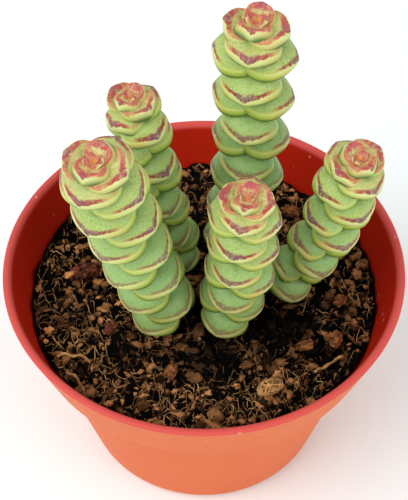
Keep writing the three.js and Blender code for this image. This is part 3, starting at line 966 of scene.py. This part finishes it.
class SUCCULENT_OT_potting_mix(bpy.types.Operator):
    """Add the body of the potting mix, with its rough surface"""

    bl_idname = "succulent.potting_mix"
    bl_label = "Potting mix"

    def execute(self, context):
        soil = settings().soil
        cells = soil.cells
        line = np.linspace(-1, 1, cells + 1)
        u, v = np.meshgrid(line, line, indexing="ij")
        x = u * np.sqrt(1 - v * v / 2) * SOIL_RADIUS
        y = v * np.sqrt(1 - u * u / 2) * SOIL_RADIUS
        x = x.ravel()
        y = y.ravel()
        fine = np.array([rough(a, b) for a, b in zip(x, y)])
        edge = np.hypot(x, y) / SOIL_RADIUS
        z = soil_height(x, y) + fine * (1 - 0.7 * smoothstep(edge, 0.97, 1.0))
        points = np.stack([x, y, z], axis=1)
        # Painted shade: the tone falls in the low places of the relief and in the hollows between the
        # stems, and rises on what stands up.
        tone = np.clip(0.3 + 0.7 * fine / 0.5, 0.0, 1.0) * openness(x, y)
        side = cells + 1
        faces = []
        for i in range(cells):
            for j in range(cells):
                a = i * side + j
                faces.append((a, a + side, a + side + 1, a + 1))
        loop = [i * side for i in range(side)]
        loop += [cells * side + j for j in range(1, side)]
        loop += [i * side + cells for i in range(cells - 1, -1, -1)]
        loop += [j for j in range(cells - 1, 0, -1)]
        collar_foot = POT["height"] - POT["collar_height"]
        ledge = collar_foot + POT["wall"]
        shoulder = SOIL_LEVEL - SOIL["edge_depth"]
        gap = SOIL["wall_gap"]
        below = [
            (inner_radius(shoulder) - gap, shoulder),
            (inner_radius(ledge) - gap, ledge + gap),
            (POT["neck"] - POT["wall"] - gap, collar_foot + POT["ledge_foot"]),
            (inner_radius(POT["floor"]) - gap, POT["floor"] + 0.02),
        ]
        turns = np.arctan2(y[loop], x[loop])
        previous = loop
        for radius, height in below:
            start = len(points)
            level = np.full(len(loop), height)
            ring = np.stack([radius * np.cos(turns), radius * np.sin(turns), level], axis=1)
            points = np.vstack([points, ring])
            tone = np.concatenate([tone, np.zeros(len(loop))])
            current = list(range(start, start + len(loop)))
            for i in range(len(loop)):
                j = (i + 1) % len(loop)
                faces.append((previous[j], previous[i], current[i], current[j]))
            previous = current
        faces.append(tuple(previous))
        material = soil_material(soil, "damp_mix", soil.dark, soil.light)
        make_piece("potting_mix", points, faces, material, ["soil"], {"tone": tone})
        return {"FINISHED"}


def open_ground(random, clear, reach=MIX_REACH):
    """A place on the mix, drawn at random, that lies clear of the stems' roots by so many mm."""
    while True:
        turn = random.uniform(0, 2 * math.pi)
        away = SOIL_RADIUS * reach * math.sqrt(random.random())
        x, y = away * math.cos(turn), away * math.sin(turn)
        roots = [stem["root"] for stem in STEMS.values()]
        if min(math.hypot(x - a, y - b) for a, b in roots) > clear:
            return x, y


class SUCCULENT_OT_crumbs(bpy.types.Operator):
    """Strew crumbs of mix and flakes of bark over the surface"""

    bl_idname = "succulent.crumbs"
    bl_label = "Crumbs and flakes"

    def execute(self, context):
        soil = settings().soil
        random = np.random.default_rng(CRUMB["seed"])
        shape, faces = ball(2)
        variants = [lumpy(shape, seed, 1.3, 1.6) for seed in range(CRUMB["forms"])]
        heap = Heap("tone")
        for _ in range(soil.crumbs):
            x, y = open_ground(random, CRUMB["clear"])
            size = float(np.clip(random.lognormal(*CRUMB["log_size"]), *CRUMB["size"]))
            flake = random.random() < CRUMB["flakes"]
            size = random.uniform(*CRUMB["flake_size"]) if flake else size
            spin = Matrix.Rotation(random.uniform(*CRUMB["spin"]), 3, "Z")
            turn = spin @ Matrix.Rotation(random.uniform(*CRUMB["tilt"]), 3, "X")
            deep = random.uniform(*CRUMB["flake_depth" if flake else "depth"])
            stretch = (size, size * random.uniform(*CRUMB["width"]), size * deep)
            form = variants[random.integers(len(variants))] * stretch @ np.array(turn).T
            ground = float(soil_height(x, y)) + rough(x, y)
            dry = random.uniform(*CRUMB["flake_tone"]) if flake else random.random() ** CRUMB["darkness"]
            form = form + (x, y, ground + CRUMB["lift"] * size)
            # Painted shade: crumbs in the hollows between the stems are darker.
            heap.add(form, faces, tone=dry * openness(x, y))
        material = soil_material(soil, "mix_crumbs", soil.dark, soil.light)
        make_piece(
            "mix_crumbs", heap.all_points(), heap.faces, material, (), heap.all_values()
        )
        return {"FINISHED"}


class SUCCULENT_OT_fibres(bpy.types.Operator):
    """Add the thin coir fibres that lie in the mix"""

    bl_idname = "succulent.fibres"
    bl_label = "Coir fibres"

    def execute(self, context):
        soil = settings().soil
        random = np.random.default_rng(FIBRE["seed"])
        heap = Heap("tone")
        for _ in range(soil.fibres):
            x, y = open_ground(random, FIBRE["clear"], 0.99)
            if random.random() > openness(x, y) * (FIBRE["behind"] if y > BACK else 1.0):
                continue
            length = float(np.clip(random.lognormal(*FIBRE["log_length"]), *FIBRE["length"]))
            path = self.wander(random, x, y, length, FIBRE["steps"])
            radius = FIBRE["radius"] + FIBRE["thicker"] * random.random() ** 2
            shares = [i / (len(path) - 1) for i in range(len(path))]
            radii = [radius * (1 - 0.6 * abs(2 * t - 1) ** 4) for t in shares]
            points, faces = tube(path, radii, FIBRE["sides"])
            # Painted shade: fibres in the hollows between the stems are darker.
            tone = random.random() ** FIBRE["darkness"] * openness(x, y)
            heap.add(points, faces, tone=tone)
        material = soil_material(soil, "coir_fibre", soil.straw_dark, soil.straw)
        make_piece("coir_fibres", heap.all_points(), heap.faces, material, (), heap.all_values())
        return {"FINISHED"}

    def wander(self, random, x, y, length, steps):
        """A curling path along the surface of the mix, with its middle or an end lifted off it."""
        turn = random.uniform(0, 2 * math.pi)
        curl = random.normal(0, FIBRE["curl"])
        rise = random.uniform(*FIBRE["rise"]) * min(1.0, length / 2)
        tilt = random.uniform(*FIBRE["tilt"])
        limit = SOIL_RADIUS * MIX_REACH
        path = []
        for i in range(steps):
            edge = math.hypot(x, y)
            if edge > limit:
                x, y = x * limit / edge, y * limit / edge
            t = i / (steps - 1)
            arch = rise * (math.sin(math.pi * t) + tilt * (t - 0.5))
            path.append((x, y, float(soil_height(x, y)) + rough(x, y) + FIBRE["lift"] + arch))
            turn += curl + random.normal(0, FIBRE["waver"])
            x += math.cos(turn) * length / steps
            y += math.sin(turn) * length / steps
        return path


class SUCCULENT_OT_bark(bpy.types.Operator):
    """Add the bark chips and clods that stand out on the mix"""

    bl_idname = "succulent.bark"
    bl_label = "Bark chips"

    def execute(self, context):
        soil = settings().soil
        shape, faces = ball(CHIP["detail"])
        for index, (node, at, half, turn, kind) in enumerate(CHIPS):
            base = float(soil_height(*at)) + half[2] * BIT_SINK
            heap = Heap("tone")
            size, shade = (CHIP["coir_size"], CHIP["coir_tone"]) if kind == "coir" else (1.0, 1.0)
            form, relief = self.chip(shape, index, kind)
            # Painted light and shade: a chip's top and its bumps are lighter, its dents and underside
            # darker.
            tone = np.clip(0.35 + 2.2 * relief + 0.3 * shape[:, 2], 0, 1) * shade
            heap.add(form * half * size, faces, tone=tone)
            if kind == "coir":
                self.wrap(heap, half, index)
            spin = Matrix.Rotation(math.radians(turn), 3, "Z")
            points = heap.all_points() @ np.array(spin).T + (at[0], at[1], base)
            material = self.finish(soil, kind)
            make_piece(
                f"{kind}_{node[-1]}", points, heap.faces, material, [node], heap.all_values()
            )
        return {"FINISHED"}

    def finish(self, soil, kind):
        if kind == "clod":
            return soil_material(soil, "dry_clod", soil.dark, soil.clod_light)
        if kind == "coir":
            return soil_material(soil, "coir_fibre", soil.straw_dark, soil.straw)
        return soil_material(soil, "rough_bark", soil.bark_dark, soil.bark_light)

    def chip(self, shape, index, kind):
        """A ball broken to a rough lump by flat cuts, and how far each point stands out."""
        random = np.random.default_rng(CHIP["seed"] + index)
        points = shape.copy()
        for _ in range(CHIP["clod_cuts" if kind == "clod" else "cuts"]):
            normal = random.normal(size=3)
            normal /= np.linalg.norm(normal)
            over = np.maximum(points @ normal - random.uniform(*CHIP["cut_depth"]), 0)
            points = points - over[:, None] * normal
        before = np.linalg.norm(points, axis=1)
        for seed, amount, waves in CHIP["lumps"]:
            points = lumpy(points, index + seed, amount, waves)
        return points, np.linalg.norm(points, axis=1) / before - 1

    def wrap(self, heap, half, index):
        """Curling golden fibres wound round a lump."""
        random = np.random.default_rng(WRAP["seed"] + index)
        steps = WRAP["steps"]
        for _ in range(WRAP["fibres"]):
            normal = random.normal(size=3)
            normal /= np.linalg.norm(normal)
            start = np.cross(normal, random.normal(size=3))
            start /= np.linalg.norm(start)
            side = np.cross(normal, start)
            spread = random.uniform(*WRAP["spread"])
            lift = random.uniform(*WRAP["lift"])
            path = []
            for i in range(steps):
                turn = spread * i / (steps - 1)
                wave = WRAP["wave"] * math.sin(WRAP["waves"] * turn + spread * 7)
                spot = (math.cos(turn) * start + math.sin(turn) * side) * (lift + wave)
                path.append((spot + WRAP["drift"] * normal * turn) * half)
            points, faces = tube(path, [random.uniform(*WRAP["radius"])] * steps, WRAP["sides"])
            heap.add(points, faces, tone=np.clip(random.normal(*WRAP["tone"]), 0, 1))


class SUCCULENT_OT_straws(bpy.types.Operator):
    """Add the three larger straws"""

    bl_idname = "succulent.straws"
    bl_label = "Straws"

    def execute(self, context):
        soil = settings().soil
        material = soil_material(soil, "coir_fibre", soil.straw_dark, soil.straw)
        for node, start, end, radius in STRAWS:
            path = []
            radii = []
            for i in range(STRAW["steps"] + 1):
                t = i / STRAW["steps"]
                bow = BOW * math.sin(math.pi * t)
                x = mix(start[0], end[0], t) + STRAW["bend"] * bow
                y = mix(start[1], end[1], t) + bow
                path.append((x, y, float(soil_height(x, y)) + radius + BIT_LIFT))
                bump = noise.noise(Vector((i * STRAW["waves"], radius, 0)))
                radii.append(radius * (STRAW["thickness"] + STRAW["uneven"] * bump))
            radii[0] *= STRAW["end"]
            radii[-1] *= STRAW["end"]
            points, faces = tube(path, radii, STRAW["sides"])
            tone = np.full(len(points), STRAW["tone"])
            make_piece(f"dry_{node}", points, faces, material, [node], {"tone": tone})
        return {"FINISHED"}


# Stems


class StemAxis:
    """The curve up the middle of a stem, through its buried end, root, bend and crown."""

    def __init__(self, stem):
        root = (*stem["root"], SOIL_LEVEL)
        buried = (*stem["root"], SOIL_LEVEL - CORE["buried"])
        self.points = self.trace(np.array([buried, root, stem["bend"], stem["crown"]], dtype=float))
        steps = np.linalg.norm(np.diff(self.points, axis=0), axis=1)
        self.run = np.concatenate([[0.0], np.cumsum(steps)])
        self.length = self.run[-1]

    def trace(self, knots, steps=200):
        """A centripetal Catmull-Rom curve through the knots."""
        ends = [2 * knots[0] - knots[1], *knots, 2 * knots[-1] - knots[-2]]
        traced = [knots[0][None, :]]
        for a, b, c, d in zip(ends, ends[1:], ends[2:], ends[3:]):
            gap = [math.sqrt(np.linalg.norm(q - p)) for p, q in ((a, b), (b, c), (c, d))]
            leave = ((b - a) / gap[0] - (c - a) / (gap[0] + gap[1]) + (c - b) / gap[1]) * gap[1]
            reach = ((c - b) / gap[1] - (d - b) / (gap[1] + gap[2]) + (d - c) / gap[2]) * gap[1]
            t = (np.arange(1, steps + 1) / steps)[:, None]
            cubic = b + leave * t + (3 * (c - b) - 2 * leave - reach) * t**2
            traced.append(cubic + (2 * (b - c) + leave + reach) * t**3)
        return np.concatenate(traced)

    def at(self, distance):
        """The point at a distance from the buried end, and the heading there."""
        near = [distance - 0.1, distance, distance + 0.1]
        spots = np.stack([np.interp(near, self.run, self.points[:, k]) for k in range(3)], axis=1)
        heading = Vector(spots[2] - spots[0]).normalized()
        return Vector(spots[1]), heading


def head_at(age):
    """Reach, lift and rise of a pair at an age."""
    row = min(len(HEAD) - 2, int(age))
    t = min(1.0, age - row)
    return [mix(a, b, t) for a, b in zip(HEAD[row], HEAD[row + 1])]


def leaf_pairs(stem, axis):
    """The pairs from the crown down, as distance along the axis, reach, thickness and lift."""
    foot = CORE["buried"] + CORE["bare"]
    rows = []
    below = 0.0
    for i in range(stem["pairs"]):
        reach, lift, rise = head_at(stem["age"] + i)
        down = i / (stem["pairs"] - 1)
        full = mix(stem["reach"][0], stem["reach"][1], down**1.5)
        wide = 1 + stem["widening"] * down
        rows.append((below, full * reach, wide * reach, lift))
        below += rise * wide
    spacing = (axis.length - foot) / rows[-1][0]
    return [(axis.length - b * spacing, reach, thick * spacing, lift) for b, reach, thick, lift in rows]


def leaf_outline(turn, old):
    """Reach of a leaf from its own middle at an angle from its tip: an oval with two flattened
    sides that meet in a blunt point, and that an old leaf has nearly lost."""
    long = mix(*LEAF["long"], old)
    oval = 1 / np.sqrt((np.cos(turn) / long) ** 2 + (np.sin(turn) / LEAF["half_width"]) ** 2)
    facing = np.cos(np.abs(turn) - math.radians(LEAF["side_normal"]))
    side = mix(*LEAF["side_distance"], old) / np.maximum(facing, 0.05)
    power = LEAF["corner"]
    return (oval**-power + side**-power) ** (-1 / power)


def leaf_form(reach, thickness, lift, over, age):
    """One leaf with its tip along +X, in millimetres: rows of points and the shades' attributes.
    over is 1 for the leaf that overlaps its partner's ends and 0 for the other one."""
    bud = 1 - float(smoothstep(age, *BUD_AGES))
    youth = 1 - float(smoothstep(age, *YOUNG_AGES))
    old = max(float(smoothstep(age, *OLD_AGES)), 0.6 * bud)
    turns = np.linspace(0, 2 * math.pi, LEAF["around"], endpoint=False)
    turn = (turns + math.pi) % (2 * math.pi) - math.pi
    outline = leaf_outline(turn, old)
    nose = smoothstep(np.abs(turn), *np.radians(LEAF["nose"]))
    upper = (2 * over - 1) * nose
    young_rows = mix(np.array(YOUNG_SECTION), np.array(BUD_SECTION), bud)[:, :, None]
    full_rows = mix(np.array(TIP_SECTION)[:, :, None], np.array(END_SECTION)[:, :, None], nose)
    share, level = mix(full_rows, young_rows, youth).transpose(1, 0, 2)
    x = (LOBE_CENTRE - LEAF["shift"] * upper + share * outline * np.cos(turn)) * reach
    y = share * outline * (1 + LEAF["widen"] * upper) * np.sin(turn) * reach
    far = np.abs(x) / reach
    cupped = far * (1 + 0.35 * youth * (1 - far))
    cupped = mix(cupped, 0.95 * np.hypot(x, y) / reach, 0.35 * youth + 0.2 * bud)
    z = level * thickness + cupped * reach * lift * (1 - 0.16 * bud)
    z = z + LEAF["raise"] * thickness * upper * (1 - bud)
    points = np.stack([x, y, z], axis=2)
    steps = np.linalg.norm(np.diff(points, axis=0), axis=2)
    run = np.vstack([np.zeros(len(turn)), np.cumsum(steps, axis=0)])
    arms = np.sin(np.clip(np.abs(turn) / math.radians(LEAF["line_arm"]), 0, 1) * math.pi)
    margin = run[LINE_ROW] - run - LEAF["line_bow"] * arms
    along = np.repeat((np.abs(turn) / (math.pi / 2))[None, :], len(share), 0)
    inner = np.hypot(x, y) / reach
    return points, margin, along, inner


def leaf_faces(rows, columns):
    """Faces of a closed leaf whose first and last rows are single points."""
    faces = []
    for column in range(columns):
        after = (column + 1) % columns
        faces.append((0, 1 + column, 1 + after))
    for row in range(rows - 3):
        for column in range(columns):
            after = (column + 1) % columns
            a = 1 + row * columns
            faces.append((a + column, a + columns + column, a + columns + after, a + after))
    last = 1 + (rows - 3) * columns
    end = last + columns
    for column in range(columns):
        faces.append((last + column, end, last + (column + 1) % columns))
    return faces


def joined(rows):
    """Flattens rows of values, with one value for each of the two poles."""
    return np.concatenate([rows[0][:1], *rows[1:-1], rows[-1][:1]])


class SUCCULENT_OT_stems(bpy.types.Operator):
    """Add the five leafy stems"""

    bl_idname = "succulent.stems"
    bl_label = "Leafy stems"

    def execute(self, context):
        material = leaf_material(settings().leaf)
        for index, (node, stem) in enumerate(STEMS.items()):
            self.add_stem(index, node, stem, material)
        return {"FINISHED"}

    def add_stem(self, index, node, stem, material):
        random = np.random.default_rng(STRAY["seeds"] + index)
        noise.seed_set(STRAY["seeds"] + index)
        axis = StemAxis(stem)
        heap = Heap("margin", "along", "age", "inner", "own")
        faces = leaf_faces(len(TIP_SECTION), LEAF["around"])
        for i, (distance, reach, thickness, lift) in enumerate(leaf_pairs(stem, axis)):
            place, heading = axis.at(distance)
            lean = Vector((0, 0, 1)).rotation_difference(heading).to_matrix()
            age = stem["age"] + i
            grown = float(smoothstep(age, *YOUNG_AGES))
            for half in range(2):
                azimuth = stem["azimuth"] + (90 + stem["twist"]) * i + 180 * half
                over = 1.0 if math.cos(math.radians(azimuth - LEAF["outer_side"])) > 0 else 0.0
                azimuth += random.normal(0, STRAY["turn"] * grown)
                size = reach * (1 + random.normal(0, STRAY["size"]) * grown)
                points, margin, along, inner = leaf_form(size, thickness, lift, over, age)
                spin = Matrix.Rotation(math.radians(azimuth), 3, "Z")
                nod = Matrix.Rotation(random.normal(0, STRAY["nod"]) * grown, 3, "X")
                points = joined(points) @ np.array(lean @ spin @ nod).T + np.array(place)
                points = self.uneven(points, random.uniform(0, 50), STRAY["dents"] * reach)
                heap.add(
                    points, faces, margin=joined(margin), along=joined(along), age=age,
                    inner=joined(inner), own=random.uniform(0, 1),
                )
        self.add_core(heap, axis)
        make_piece(
            f"leafy_{node}", heap.all_points(), heap.faces, material, [node], heap.all_values()
        )

    def uneven(self, points, seed, amount):
        """Soft dents and swellings of a grown leaf, in millimetres."""
        offset = Vector((seed, 0, 0))
        push = [noise.noise_vector(Vector(p) * STRAY["waves"] + offset) for p in points]
        return points + amount * np.array(push)

    def add_core(self, heap, axis):
        """The bare foot of the stem, from under the mix into the lowest pairs."""
        reach = CORE["buried"] + CORE["bare"] + SPACING
        start, steps = CORE["start"], CORE["steps"]
        path = [axis.at(start + (reach - start) * i / steps)[0] for i in range(steps + 1)]
        points, faces = tube(path, [CORE["radius"]] * (steps + 1), CORE["sides"])
        heap.add(points, faces, margin=-3.0, along=0.5, age=14.0, inner=0.2, own=0.5)


OPERATORS = [
    SUCCULENT_OT_stage, SUCCULENT_OT_pot, SUCCULENT_OT_potting_mix, SUCCULENT_OT_crumbs,
    SUCCULENT_OT_fibres, SUCCULENT_OT_bark, SUCCULENT_OT_straws, SUCCULENT_OT_stems,
]
GROUPS = [PotSettings, SoilSettings, LeafSettings, StageSettings, SucculentSettings]


class SUCCULENT_PT_panel(bpy.types.Panel):
    """Buttons and settings of the potted succulent"""

    bl_idname = "SUCCULENT_PT_panel"
    bl_label = "Potted succulent"
    bl_space_type = "VIEW_3D"
    bl_region_type = "UI"
    bl_category = "Succulent"

    def draw(self, context):
        for operator in OPERATORS:
            self.layout.operator(operator.bl_idname)
        for key in ("pot", "soil", "leaf", "stage"):
            box = self.layout.box()
            box.label(text=key.capitalize())
            part = getattr(context.scene.succulent, key)
            for name in part.__annotations__:
                box.prop(part, name)


CLASSES = [*GROUPS, *OPERATORS, SUCCULENT_PT_panel]


def register():
    for item in CLASSES:
        bpy.utils.register_class(item)
    bpy.types.Scene.succulent = bpy.props.PointerProperty(type=SucculentSettings)


def unregister():
    del bpy.types.Scene.succulent
    for item in reversed(CLASSES):
        bpy.utils.unregister_class(item)


def main():
    register()
    for operator in OPERATORS:
        group, name = operator.bl_idname.split(".")
        getattr(getattr(bpy.ops, group), name)()


if __name__ == "__main__":
    main()
